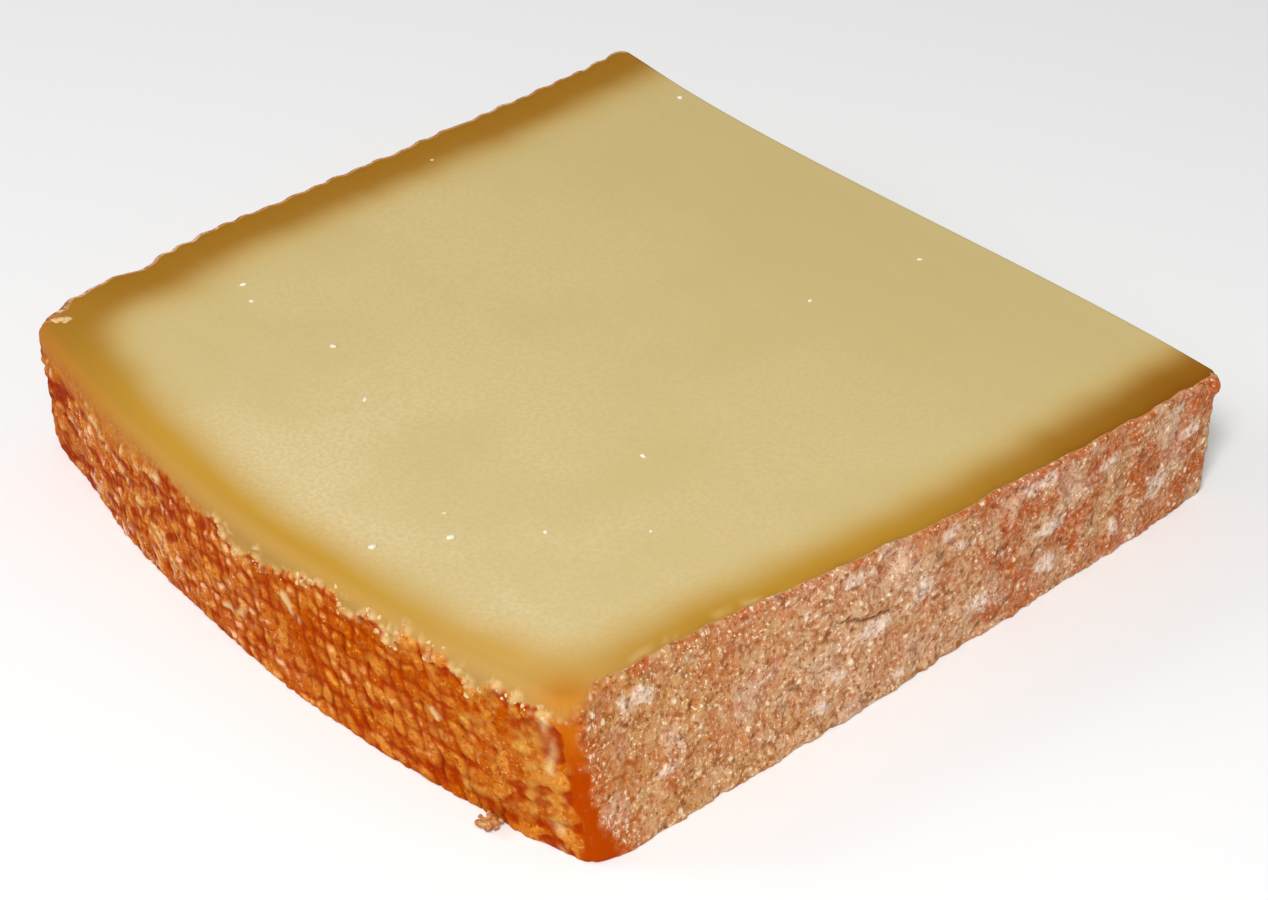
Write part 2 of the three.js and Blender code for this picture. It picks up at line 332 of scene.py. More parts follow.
# Painted highlight: the cushions' upward-facing slopes are lightened in colour.
highlight_crest = ease(0.05, 0.22, -np.gradient(cushion_height, axis=0) / np.gradient(u, axis=0))
highlight_crest *= ease(-0.2, 0.6, lumps(a, u, 1.4, 21)) * ease(0.25, 0.6, cushion)
stroke_run = a * math.cos(STROKE_FALL) + b * math.sin(STROKE_FALL)
stroke_gap = a * math.sin(STROKE_FALL) - b * math.cos(STROKE_FALL)
fade_in, fade_out = BRUSHED
brushed = ease(*fade_out, a) * ease(*fade_in, a) * ease(-0.3, 0.5, lumps(a, b, 5, 29))
stroke_run *= STROKE_STRETCH
streak = ease(0.3, 0.8, lumps(stroke_gap, stroke_run, STROKE_WIDTH, 22)) * brushed
# The groove beside each stroke, which also carries painted shade in the colour.
stroke_groove_shade = ease(0.3, 0.8, lumps(stroke_gap + STROKE_SHADE, stroke_run, STROKE_WIDTH, 22)) * brushed
thread = np.round(across)
slit = ease(SLIT_WIDTH, 0.02, np.abs(across - thread)) * imprint
slit *= ease(0.2, 0.6, lumps(40 * thread, b, 2.2, 7))
smear_run = a * math.cos(MOTTLE_RISE) - b * math.sin(MOTTLE_RISE)
smear_gap = a * math.sin(MOTTLE_RISE) + b * math.cos(MOTTLE_RISE)
mottle = ease(-0.6, 0.7, lumps(0.4 * smear_run, smear_gap, 1.2, 8) + 0.4 * lumps(a, b, 0.9, 25))

tear = np.interp(a, *np.transpose(TEAR)) + 0.45 * lumps(a, 0 * b, 1.8, 9) + 0.35 * lumps(a, b, 0.9, 10)
tear = np.maximum(tear, TEAR_TOP)
tear_row = np.argmin(np.abs(b - tear), axis=0)
tear_softness = np.interp(a, *np.transpose(TEAR_SOFTNESS))
printed = ease(-tear_softness, tear_softness, b - tear)
ragged = 0.5 * lumps(a, b, 1.2, 23) + 0.35 * lumps(a, b, 0.6, 24)
fray = np.exp(-((b - tear + 0.2) / FRAY_WIDTH) ** 2) * ease(*FRAYED_FROM, a)
fray *= ease(-0.2, 0.4, lumps(a, b, 1.2, 11)) * ease(-0.5, 0.2, lumps(a, b, 0.6, 30))
torn = cover_of(TORN_PASTE, a, b, 1.3 * ragged + 0.25) * ease(0.2, 0.9, b)
torn *= ease(-0.7, 0.0, lumps(a, b, 0.6, 31))
gold = np.maximum(cover_of(GOLD_PATCHES, a, b, ragged) * (0.3 + 0.7 * mottle), 1 - printed)
shaky_b = b + 0.5 * lumps(a, b, 2, 13)
scuff = np.max([ease(SCUFF_WIDTH, 0, near_line(a, shaky_b, line)) for line in SCUFFS], axis=0)
scuff *= ease(-0.35, 0.3, lumps(a, 0.6 * b, 0.6, 14))
grit = 0.1 * lumps(a, u, 1.2, 15) + 0.07 * lumps(a, u, 0.6, 16)

strokes = STROKE_RISE * streak - STROKE_DEPTH * stroke_groove_shade
smears = SMEAR_RISE * (1 - imprint) * (mottle - 0.5)
heel_relief = printed * (cushion_height - 0.5 * CUSHION_RISE * imprint - SLIT_DEPTH * slit)
heel_relief += printed * (grit * (1.9 - imprint) + strokes + smears)
heel_relief -= BARE_DEPTH * (1 - printed)
heel_relief += FRAY_RISE * fray + SCUFF_RISE * scuff + TORN_RISE * torn * (1 + lumps(a, b, 0.7, 26))
heel_relief += 0.2 * lumps(a, u, 14, 17)
front_gap = wall_length["heel"] - a
amber_edge = np.interp(b, *np.transpose(HEEL_AMBER))
amber_edge += 0.6 * lumps(a, u, 2.4, 18) + 0.5 * lumps(a, u, 1.0, 27)
heel_amber = ease(0.5, -0.5, front_gap - amber_edge)
heel_bare_corner = ease(2.4, 0.4, front_gap) * ease(2.6, 0.4, b)
heel_relief *= ease(0, 1.5, np.minimum(a, front_gap)) * (1 - 0.8 * heel_amber)
line_gap, line_width = CORNER_LINE
corner_line = np.exp(-((front_gap - line_gap - 0.6 * lumps(a, b, 3, 19)) / line_width) ** 2)
corner_line *= ease(-0.5, 0.5, lumps(a, b, 1.6, 20))
left_stain = 0.85 * ease(*STAINED_TO, a) * ease(0.2, 3.2, b)
relief_tone = imprint * cushion + (1 - imprint) * mottle * (0.9 - 0.5 * ease(14, 3, a))
relief[:, columns] = heel_relief
marks["heel"][:, columns] = 1
marks["rind"][:, columns] = np.maximum(printed, left_stain) * (1 - heel_bare_corner)
marks["raised"][:, columns] = relief_tone * printed + 0.5 * (1 - printed)
marks["stain"][:, columns] = gold
marks["tone"][:, columns] = cushion_tone
# Dark slits, and painted shade in the groove beside each stroke.
marks["dark"][:, columns] = np.maximum(slit, 0.8 * stroke_groove_shade * (1 - streak) * printed)
# This mark is painted highlight: the cushions' upper slopes and the strokes' ridges.
marks["painted_highlight"][:, columns] = np.clip(highlight_crest + streak, 0, 1) * printed
torn_cream = torn * (0.5 + 0.4 * lumps(a, b, 0.6, 28))
marks["pale"][:, columns] = np.clip(0.6 * fray + torn_cream + scuff + 0.75 * corner_line, 0, 1)
marks["amber"][:, columns] = heel_amber * ease(0.4, 2.6, b)

# The two flat rinds
# They were the top and bottom of the wheel, turned and rubbed with brine on wooden boards. They are a
# dry grainy crust with pale patches of bloom and rusty stains. The far one is scalloped, and at the
# front corner the near one has dried to a glassy amber.
GRAINS = ((1.5, 0.6, 0.14), (0.75, 2.1, 0.12))  # pitch, turn of their grid, and rise
GRAIN_SHIFT = 0.45  # as a share of the pitch, like their sizes
GRAIN_SIZES = (0.22, 0.62)
CRUST_LUMPS = ((5.0, 0.2), (2.2, 0.16), (1.1, 0.12), (0.6, 0.08))  # size and height
CRACK = ((23, 2.5), (28, 4.6), (34, 6.4), (39, 7.0), (42.5, 7.8), (46.6, 8.8))  # along and below
CRACK_WIDTH = 0.24
CRACK_DEPTH = 0.3
DARK_SPOT = ((30.8, 11.7, 0.8, 0.6),)  # spots: along, below, half length and half height
BLOOM = (  # pale patches, as spots
    (56.5, 2, 1.3, 1.0), (58.2, 4.3, 1.0, 0.9), (44, 9.6, 3.0, 1.2), (42.5, 2.1, 2.4, 0.9),
    (35, 16.6, 1.6, 1.3), (47.5, 18, 1.2, 0.8), (38, 13.8, 1.6, 0.7), (70.5, 1.8, 4.2, 1.3),
    (73.6, 9.2, 2.8, 1.0), (73, 14.6, 2.6, 1.5), (85, 15, 0.9, 1.5), (93, 12.4, 2.8, 1.9),
    (98.6, 6.4, 1.6, 1.8), (95.8, 2.2, 1.8, 0.9), (84, 4.2, 1.8, 1.0), (12.6, 13.6, 1.8, 0.8),
    (10.4, 3.4, 2.6, 1.2), (52, 8, 2.2, 1.6), (61, 14.5, 2.6, 1.6),
)
STAINS = (  # rusty stains, as spots
    (33, 2, 2.6, 1.3), (26, 8, 1.4, 0.9), (20, 4, 1.4, 0.8), (18.5, 10, 1.3, 0.9),
    (22.5, 10.6, 2.2, 0.9), (63, 1.6, 3.4, 1.7), (65.6, 5.5, 1.0, 3.0), (72.5, 5.2, 3.2, 1.7),
    (75, 11, 2.4, 1.1), (78, 13.8, 1.2, 2.4), (67.8, 14, 1.8, 1.5), (63.5, 17, 2.2, 1.5),
    (81, 4, 3.0, 2.2), (88.5, 2.4, 1.4, 1.0), (90.5, 5.5, 2.6, 1.3), (97, 8, 3.2, 1.5),
    (99, 15, 2.8, 1.9), (102, 3, 1.8, 3.0), (86.5, 13, 1.4, 3.0), (7, 11.5, 2.4, 3.0),
)
RUSTY_FROM = (50, 70)  # along, the near rind gets rustier here
AMBER_REACH = (  # below, and how far the amber runs round the front corner there
    (0, 1.8), (3, 1.4), (5, 0.9), (8, 0.8), (11, 1.7), (15, 2.0), (17, 2.6), (20, 3.2),
)
AMBER_ISLANDS = (  # bits of crust left in the amber
    (3.4, 7.6, 1.1, 1.7), (4.3, 12.2, 1.1, 1.0), (3.5, 14.6, 0.9, 0.8), (5.4, 17.2, 1.2, 0.9),
)
BARE_CORNER = (2.4, 5.0)  # bare paste at the front corner: below its edge, and along
KNOB = (0.8, 1.8, 1.3)  # a knob of rind: before the right corner, below the edge, and its radius
KNOB_RISE = 0.8
LIP_RISE = {"near": 0.2, "far": 0.07}
SCALLOP_WIDTH = 3.7
SCALLOP_DEPTH = 0.4

for wall, seed in (("near", 20), ("far", 40)):
    columns = of_wall[wall]
    a, u, b = along[:, columns], up[:, columns], below[:, columns]
    grains = np.zeros_like(a)
    grain_tone = np.zeros_like(a)
    heights = np.zeros_like(a)
    for pitch, turn, rise in GRAINS:
        across = (a * math.cos(turn) - b * math.sin(turn)) / pitch
        down = (a * math.sin(turn) + b * math.cos(turn)) / pitch
        layer, layer_tone = domes(across, down, GRAIN_SHIFT, GRAIN_SIZES, seed)
        grain_tone = np.where(layer > grains, layer_tone, grain_tone)
        grains = np.maximum(grains, layer)
        heights += rise * (layer - 0.5)
    for number, (size, height) in enumerate(CRUST_LUMPS):
        heights += height * lumps(a, u, size, seed + 3 + number)
    ragged = 0.45 * lumps(a, u, 1.3, seed + 7) + 0.25 * lumps(a, u, 0.6, seed + 16)
    pale = 0.5 * ease(0.35, 0.8, lumps(a, u, 5, seed + 8))
    dark = 0.6 * ease(0.6, 0.85, lumps(a, u, 0.9, seed + 9))
    rusty = ease(*RUSTY_FROM, a) if wall == "near" else 0.5
    stain = ease(0.15 - 0.3 * rusty, 0.6 - 0.2 * rusty, lumps(a, u, 3.2, seed + 10))
    stain *= 0.4 + 0.5 * rusty
    bare_corner = np.zeros_like(a)
    if wall == "near":
        pale = np.maximum(0.6 * pale, cover_of(BLOOM, a, b, ragged))
        stain = np.maximum(stain, cover_of(STAINS, a, b, ragged) * (0.5 + 0.5 * rusty))
        crack = ease(CRACK_WIDTH, 0.08, near_line(a, b + 0.3 * lumps(a, u, 1.8, seed + 11), CRACK))
        crack *= np.maximum(ease(37, 40, a), 0.4 * ease(-0.3, 0.4, lumps(a, 0 * b, 2, seed + 15)))
        spot = cover_of(DARK_SPOT, a, b, ragged)
        heights += 0.12 * pale - CRACK_DEPTH * crack
        dark = np.maximum(dark, np.maximum(crack, 0.5 * spot))
        amber_reach = np.interp(b, *np.transpose(AMBER_REACH)) + 0.9 * lumps(a, u, 1.6, seed + 12)
        amber_reach += 0.5 * lumps(a, u, 0.8, seed + 19)
        amber = ease(amber_reach + 0.6, amber_reach - 0.6, a)
        amber *= 1 - cover_of(AMBER_ISLANDS, a, b, ragged)
        corner_depth, corner_length = BARE_CORNER
        bare_below = corner_depth * (1 - a / corner_length) + 0.6 * lumps(a, u, 1.5, seed + 17)
        bare_corner = ease(-0.8, 0.8, bare_below - b)
        heights = heights * (1 - np.maximum(amber, bare_corner)) - 0.3 * amber
        heights *= ease(0, 1.2, a)
        stain = np.maximum(stain, ease(amber_reach + 5.5, amber_reach, a))
        marks["amber"][:, columns] = amber * ease(-1.0, 1.5, b - bare_below)
    else:
        scallops = np.abs(np.sin(np.pi * (a + 2.0 * lumps(a, 0 * b, 7, seed + 18)) / SCALLOP_WIDTH))
        heights += SCALLOP_DEPTH * (scallops ** 0.7 - 0.6) * (0.7 + 0.6 * lumps(a, 0 * b, 6, seed + 21))
        heights *= ease(0, 0.9, a)
        stain = np.maximum(stain, ease(6, 0, wall_length[wall] - a + 1.5 * lumps(a, u, 2, seed + 22)))
    rusty_edge = 0.9 * ease(1.7, 0.3, b) * ease(-0.8, 0.2, lumps(a, 0 * b, 3, seed + 20))
    stain = np.maximum(stain, np.clip(rusty_edge * (1 - 0.7 * pale), 0, 1))
    upper_edge = lumps(a, 0 * b, 2.6, seed + 13) + 0.5 * lumps(a, 0 * b, 1.0, seed + 14)
    lip[:, columns] = LIP_RISE[wall] * upper_edge * ease(1.6, 0, b)
    lip[:, columns] *= ease(0.5, 3, np.minimum(a, wall_length[wall] - a))
    relief[:, columns] = heights * ease(0, 0.9, wall_length[wall] - a) * (0.5 + 0.5 * ease(0, 1.4, b))
    if wall == "near":
        knob_before, knob_below, knob_radius = KNOB
        knob_gap = np.hypot(wall_length[wall] - knob_before - a, b - knob_below) / knob_radius
        relief[:, columns] += KNOB_RISE * np.exp(-knob_gap ** 2)
    marks["rind"][:, columns] = 1 - bare_corner
    marks["raised"][:, columns] = grains
    marks["tone"][:, columns] = grain_tone
    marks["stain"][:, columns] = stain
    marks["dark"][:, columns] = dark
    marks["pale"][:, columns] = pale

sides = sides + outward * relief[..., None] + to_centre * inset[..., None]
sides[..., 2] += lip

# The cut faces
# The paste is pale, close and a little fatty. Towards each rind it turns ochre, where the salt and the
# smear reached it. Narrow rows run inside the upper rim, and a net of triangles fills each face.
RIM_ROWS = ((0.3, 0.6), (0.8, 0.0), (1.4, 0.0), (2.2, 0.0))  # how far in, and how much lip is left there
FILM = ((11.5, 3.0), (16, 1.8), (24, 2.0), (28, 2.4))  # dried smears by the near rind: along, half length
FILM_SHARES = (0.3, 1.0, 0.7, 0.0)  # how much of a smear reaches each row
FILM_STRENGTH = 0.42
FACE_NET = {"upper": 1.25, "lower": 3.0}  # between the points of each net
FACE_WAVE = 0.07  # height of the waves that the wire left
BAND = {  # the ochre band along each rind: full to this depth, gone at that one, and how fast it falls
    "heel": (3.4, 11.0, 1.7), "near": (2.4, 9.4, 1.35), "far": (4.0, 14.5, 1.7),
}
BAND_BROWN = {"heel": 0.1, "near": 0.22, "far": 0.66}  # how brown each band is
EDGE_TAN_WIDTH = 1.7  # the heel's edge has dried to a duller tan
GLOW_REACH = 3.4  # the front corner is stained orange this far round
LEFTWARD = (-15, -50)  # x, the heel's band gets wider and browner from here to there
FRONTWARD = (22, 48)  # x, and wider towards the front corner
ENDWARD = (-10, 50)  # y, the near band gets wider and browner from here to there

columns_round = sides.shape[1]
rim = sides[-1]
inward = -rim * (1, 1, 0)
inward /= np.linalg.norm(inward, axis=1, keepdims=True)
rim_rows = []
for rim_depth, lip_left in RIM_ROWS:
    rim_row = rim + inward * rim_depth
    rim_row[:, 2] -= lip[-1] * (1 - lip_left)
    rim_rows.append(rim_row)
skin = np.concatenate([sides, np.array(rim_rows)])


def face_net(ring, spacing):
    """Points spread over the inside of a ring, and triangles that join them and the ring."""
    ring_turn = np.arctan2(ring[:, 1], ring[:, 0])
    order = np.argsort(ring_turn)
    reach = np.hypot(ring[:, 0], ring[:, 1])
    count = round(2 * reach.max() / spacing)
    x, y = np.meshgrid(*[np.linspace(-reach.max(), reach.max(), count)] * 2)
    x[::2] += spacing / 2
    limit = np.interp(np.arctan2(y, x), ring_turn[order], reach[order], period=math.tau)
    inside = np.hypot(x, y) < limit - 0.8 * spacing
    flat = np.concatenate([ring[:, :2], np.stack([x[inside], y[inside]], axis=1)])
    outline = list(range(len(ring)))
    net = geometry.delaunay_2d_cdt([Vector(place) for place in flat], [], [outline], 1, 1e-7)
    source = [origins[0] for origins in net[3]]
    return flat[len(ring):], [[source[corner] for corner in face] for face in net[2]]


def face_height(x, y):
    """Height of the upper cut: a plane through its rim, with a slight wave from the wire."""
    inner_rim = skin[-1]
    fit, *_ = np.linalg.lstsq(np.c_[inner_rim[:, :2], np.ones(len(rim))], inner_rim[:, 2], rcond=None)
    gap = np.min(np.hypot(x[:, None] - rim[::9, 0], y[:, None] - rim[::9, 1]), axis=1)
    wave = FACE_WAVE * lumps(x, y, 16, 60) + 0.4 * FACE_WAVE * lumps(x, 3 * y, 9, 61)
    return fit[0] * x + fit[1] * y + fit[2] + wave * ease(0, 8, gap)


rows = len(skin)
upper_inside, upper_faces = face_net(skin[-1], FACE_NET["upper"])
lower_inside, lower_faces = face_net(skin[0], FACE_NET["lower"])
upper_inside = np.c_[upper_inside, face_height(*upper_inside.T)]
lower_inside = np.c_[lower_inside, np.zeros(len(lower_inside))]
vertices = np.concatenate([skin.reshape(-1, 3), upper_inside, lower_inside])

first = (np.arange(rows - 1)[:, None] * columns_round + np.arange(columns_round)).ravel()
second = (np.arange(rows - 1)[:, None] * columns_round + np.roll(np.arange(columns_round), -1)).ravel()
side_faces = np.stack([first, second, second + columns_round, first + columns_round], axis=1)
top_ring = (rows - 1) * columns_round
upper_start = rows * columns_round
lower_start = upper_start + len(upper_inside)


def numbered(faces, ring_start, inside_start, turned):
    """The net's triangles in the numbers of the whole skin."""
    faces = np.array(faces)
    faces = np.where(faces < columns_round, faces + ring_start, faces - columns_round + inside_start)
    return faces[:, ::-1] if turned else faces


all_faces = side_faces.tolist()
all_faces += numbered(upper_faces, top_ring, upper_start, False).tolist()
all_faces += numbered(lower_faces, 0, lower_start, True).tolist()

row_along, row_depth = np.meshgrid(along_column, [rim_depth for rim_depth, _ in RIM_ROWS])
film = np.zeros_like(row_along)
for place, half_length in FILM:
    gap = np.where(of_wall["near"], np.abs(along_column - place), np.inf)
    gap += 0.6 * lumps(along_column, 0 * along_column, 0.8, 72)
    smear = ease(half_length, 0.3 * half_length, gap)
    film = np.maximum(film, FILM_STRENGTH * np.outer(FILM_SHARES, smear))
film *= ease(-0.8, 0.6, lumps(row_along, row_depth, 1.6, 73))

point_marks = {}
for name in MASKS:
    on_rim = film if name == "pale" else np.zeros_like(film)
    on_skin = np.concatenate([marks[name], on_rim])
    point_marks[name] = np.r_[on_skin.ravel(), np.zeros(len(upper_inside) + len(lower_inside))]


def from_wall(x, y, wall):
    """How far a place in the paste lies from one wall's rind."""
    line = upper_ring[of_wall[wall]][::4]
    return np.min(np.hypot(x[:, None] - line[:, 0], y[:, None] - line[:, 1]), axis=1)


bare = point_marks["rind"] < 0.999
x, y = vertices[bare, 0], vertices[bare, 1]
clear_paste = np.ones(len(x))
covered = np.full(len(x), 1e-6)
brown = np.zeros(len(x))
to_left = ease(*LEFTWARD, x)
to_end = ease(*ENDWARD, y)
to_front = ease(*FRONTWARD, x)
for wall, (full_to, gone_at, fall) in BAND.items():
    from_rind = from_wall(x, y, wall)
    depth = from_rind + 0.4 * lumps(x, y, 15, 70) + 0.3 * lumps(x, y, 5, 71)
    brown_here = BAND_BROWN[wall]
    if wall == "heel":
        gone_at = gone_at + 2.0 * to_left + 1.8 * to_front
        full_to = full_to + 1.4 * to_left + 1.2 * to_front
        brown_here = brown_here + 0.4 * to_left
        dried_edge = np.exp(-(from_rind / EDGE_TAN_WIDTH) ** 2)
    if wall == "far":
        brown_here = brown_here + 0.12 * np.exp(-np.clip(depth, 0, None) / 1.5)
    if wall == "near":
        gone_at = gone_at + 2.6 * to_end
        full_to = full_to + 0.8 * to_end
        brown_here = brown_here + 0.6 * to_end + 0.5 * np.exp(-np.clip(depth, 0, None) / 1.2)
    cover = np.clip((gone_at - depth) / (gone_at - full_to), 0, 1) ** fall
    clear_paste *= 1 - cover
    covered += cover
    brown += cover * brown_here
front_corner = rim[np.argmax(rim[:, 0] - rim[:, 1])]
corner_glow = np.exp(-np.sum((vertices[bare] - front_corner) ** 2, axis=1) / GLOW_REACH ** 2)
bare_marks = {"band": 1 - clear_paste, "brown": brown / covered, "edge": dried_edge, "glow": corner_glow}
for name, values in bare_marks.items():
    point_marks[name] = np.zeros(len(vertices))
    point_marks[name][bare] = np.clip(values, 0, 1)

# The cheese's finish
# Paste and rind are one material that the marks on the skin lead over from one to the other: pale
# paste, ochre under the rind, orange imprint on the heel, dry grainy crust on the flat rinds.


def paint(red, green, blue):
    """A colour as it shows on a screen, 0 to 255, in the linear form that shaders take."""
    shares = np.array([red, green, blue]) / 255
    linear = np.where(shares <= 0.04045, shares / 12.92, ((shares + 0.055) / 1.055) ** 2.4)
    return (*linear.tolist(), 1.0)


# The pale paste colour is painted light at the front; the deep one is mottle and painted shade at the
# back
PASTE = paint(209, 188, 134)
PASTE_PAINTED_LIGHT = paint(221, 201, 156)
PASTE_DEEP_AND_SHADE = paint(200, 179, 122)
BAND_GOLD = paint(198, 152, 56)
BAND_LIGHT = paint(206, 164, 84)
BAND_DARK = paint(136, 83, 16)
EDGE_TAN = paint(170, 132, 74)
EDGE_ORANGE = paint(172, 110, 40)
CREAM = paint(226, 192, 134)
CUSHION_GOLD = paint(178, 80, 0)
CUSHION_RED = paint(194, 100, 30)
GROUND_GOLD = paint(160, 48, 0)
GROUND_RED = paint(154, 46, 0)
HEEL_GOLD = paint(198, 142, 64)
HEEL_ORANGE = paint(188, 98, 8)
# The light heel colour tints paler cushions and painted highlights; the pink one is only painted
# highlight.
HEEL_PALE_AND_HIGHLIGHT = paint(232, 162, 62)
HIGHLIGHT_PINK = paint(252, 212, 178)
HEEL_DEEP = paint(150, 48, 0)
SLIT_BROWN = paint(104, 34, 2)
CRUST_TAN = paint(200, 150, 94)
CRUST_PINK = paint(214, 172, 134)
CRUST_ORANGE = paint(182, 78, 6)
CRUST_BROWN = paint(160, 88, 34)
# The light crust colour is for pale grains and for painted glints.
CRUST_PALE_AND_GLINT = paint(252, 230, 200)
PIT_BROWN = paint(100, 48, 20)
BLOOM_WHITE = paint(244, 222, 204)
AMBER = paint(170, 62, 0)
AMBER_LIGHT = paint(190, 98, 12)
CORNER_ORANGE = paint(192, 120, 34)
SHINE = paint(255, 190, 100)


def start_material(name):
    """A new material without nodes. The functions below add theirs to the one started last."""
    global tree
    made = bpy.data.materials.new(name)
    made.use_nodes = True
    tree = made.node_tree
    tree.nodes.clear()
    return made


def add(kind, inputs, **settings):
    """A node of the material, with values or other nodes' outputs on its inputs."""
    made = tree.nodes.new(kind)
    for name, value in settings.items():
        setattr(made, name, value)
    for name, value in inputs.items():
        if isinstance(value, bpy.types.NodeSocket):
            tree.links.new(value, made.inputs[name])
        else:
            made.inputs[name].default_value = value
    return made


def mark(name):
    """The strength of one of the skin's marks."""
    return add("ShaderNodeAttribute", {}, attribute_name=name).outputs["Fac"]


def blend(factor, colour, other):
    """One colour led over to another by a factor."""
    return add("ShaderNodeMix", {0: factor, 6: colour, 7: other}, data_type="RGBA").outputs[2]


def math_of(operation, first, second=0.0):
    """Two values joined by simple arithmetic, kept between 0 and 1."""
    return add("ShaderNodeMath", {0: first, 1: second}, operation=operation, use_clamp=True).outputs[0]


def spread(value, low, high, to_low=0.0, to_high=1.0):
    """A value between low and high, stretched to another range."""
    inputs = {"Value": value, "From Min": low, "From Max": high, "To Min": to_low, "To Max": to_high}
    return add("ShaderNodeMapRange", inputs, interpolation_type="SMOOTHSTEP").outputs["Result"]


def cloud(size, detail=2.0, roughness=0.5):
    """Noise with lumps of about size mm."""
    where = add("ShaderNodeTexCoord", {}).outputs["Object"]
    inputs = {"Vector": where, "Scale": 1 / (size * MM), "Detail": detail, "Roughness": roughness}
    return add("ShaderNodeTexNoise", inputs).outputs["Fac"]


cheese = start_material("cheese")
axes = add("ShaderNodeSeparateXYZ", {0: add("ShaderNodeTexCoord", {}).outputs["Object"]}).outputs
raised = mark("raised")
tone = mark("tone")
dark = mark("dark")
pale = mark("pale")
stain = mark("stain")
fine = cloud(0.5, 3, 0.6)
sparkle = cloud(0.5, 3, 0.65)
fleck = cloud(0.8, 3, 0.6)

# Painted light and shade: paler towards the front corner, deeper towards the back end.
painted_front_light = math_of("MULTIPLY", spread(axes["Y"], 0.0, -0.05), spread(axes["X"], -0.05, 0.025))
paste = blend(spread(axes["Y"], 0.0, 0.05, 0, 0.8), PASTE, PASTE_DEEP_AND_SHADE)
paste = blend(painted_front_light, paste, PASTE_PAINTED_LIGHT)
paste = blend(spread(cloud(26), 0.4, 0.65, 0, 0.6), paste, PASTE_DEEP_AND_SHADE)
paste = blend(spread(cloud(0.6, 3, 0.6), 0.35, 0.65, 0, 0.6), paste, PASTE_DEEP_AND_SHADE)
band = mark("band")
front_gold = math_of("MULTIPLY", spread(axes["X"], 0.01, 0.045), spread(axes["Y"], -0.025, -0.045))
paste = blend(band, paste, blend(front_gold, BAND_GOLD, BAND_LIGHT))
paste = blend(math_of("MULTIPLY", mark("brown"), spread(band, 0.1, 1.0)), paste, BAND_DARK)
dried = blend(spread(axes["X"], 0.0, -0.045), EDGE_TAN, EDGE_ORANGE)
paste = blend(math_of("MULTIPLY", mark("edge"), 0.85), paste, dried)
paste = blend(math_of("MULTIPLY", mark("glow"), 0.85), paste, CORNER_ORANGE)
paste = blend(math_of("MULTIPLY", pale, 0.85), paste, CREAM)

redness = math_of("ADD", spread(axes["X"], 0.05, -0.05, 0, 0.9), spread(cloud(8), 0.35, 0.7, -0.3, 0.3))
cushions = blend(redness, CUSHION_GOLD, CUSHION_RED)
# Colour of the painted highlights and glints on the heel.
highlight_colour = blend(redness, HEEL_PALE_AND_HIGHLIGHT, HIGHLIGHT_PINK)
cushions = blend(spread(tone, 0.3, 1.0, 0, 0.45), cushions, HEEL_PALE_AND_HIGHLIGHT)
ground = blend(redness, GROUND_GOLD, GROUND_RED)
heel = blend(spread(raised, 0.12, 0.48), ground, cushions)
heel = blend(spread(cloud(3.2, 3), 0.5, 0.72, 0, 0.4), heel, ground)
heel = blend(spread(fine, 0.46, 0.3, 0, 0.5), heel, ground)
heel = blend(spread(sparkle, 0.42, 0.32, 0, 0.7), heel, HEEL_DEEP)
worn_thin = blend(redness, HEEL_GOLD, HEEL_ORANGE)
heel = blend(math_of("MULTIPLY", stain, spread(cloud(1.6, 3), 0.4, 0.62, 0.95, 0.25)), heel, worn_thin)
# Painted glints on the tops of the cushions.
painted_top_glints = math_of("MULTIPLY", spread(sparkle, 0.55, 0.68, 0, 0.7), spread(raised, 0.25, 0.7, 0.15, 1.0))
heel = blend(painted_top_glints, heel, highlight_colour)
# Painted highlight from that mark, on upper slopes and stroke ridges.
heel = blend(math_of("MULTIPLY", mark("painted_highlight"), 0.85), heel, highlight_colour)
heel = blend(math_of("MULTIPLY", dark, 0.8), heel, SLIT_BROWN)
heel = blend(math_of("MULTIPLY", pale, 0.85), heel, CREAM)

crust_low = blend(spread(cloud(2.4, 3), 0.45, 0.65), CRUST_ORANGE, CRUST_BROWN)
paler = math_of("ADD", spread(axes["Y"], -0.04, -0.005, 0, 0.6), spread(cloud(3.5), 0.4, 0.65, 0, 0.4))
crust_high = blend(paler, CRUST_TAN, CRUST_PINK)
crust = blend(spread(raised, -0.5, 0.5), crust_low, crust_high)
crust = blend(spread(cloud(1.2, 2), 0.53, 0.66, 0, 0.7), crust, CRUST_BROWN)
crust = blend(math_of("MULTIPLY", stain, spread(fleck, 0.35, 0.62, 0.95, 0.45)), crust, CRUST_ORANGE)
crust = blend(math_of("MULTIPLY", pale, spread(fleck, 0.35, 0.65, 0.3, 0.9)), crust, BLOOM_WHITE)
crust = blend(spread(fine, 0.45, 0.33, 0, 0.5), crust, CRUST_BROWN)
pits = math_of("MULTIPLY", spread(sparkle, 0.42, 0.3), spread(paler, 0, 0.6, 0.8, 0.55))
crust = blend(pits, crust, PIT_BROWN)
# Painted glints: small bright specks on the crust, in clusters, fewer on the stains.
clusters = math_of("MULTIPLY", spread(cloud(4, 2), 0.38, 0.6, 0.45, 1.0), spread(stain, 0, 1, 1.0, 0.75))
painted_crust_glints = math_of("MULTIPLY", spread(sparkle, 0.56, 0.67), clusters)
crust = blend(painted_crust_glints, crust, CRUST_PALE_AND_GLINT)
pale_grains = math_of("MULTIPLY", spread(tone, 0.8, 0.88), spread(raised, 0.4, 0.7))
crust = blend(math_of("MULTIPLY", pale_grains, 0.8), crust, CRUST_PALE_AND_GLINT)
crust = blend(math_of("MULTIPLY", dark, 0.85), crust, PIT_BROWN)

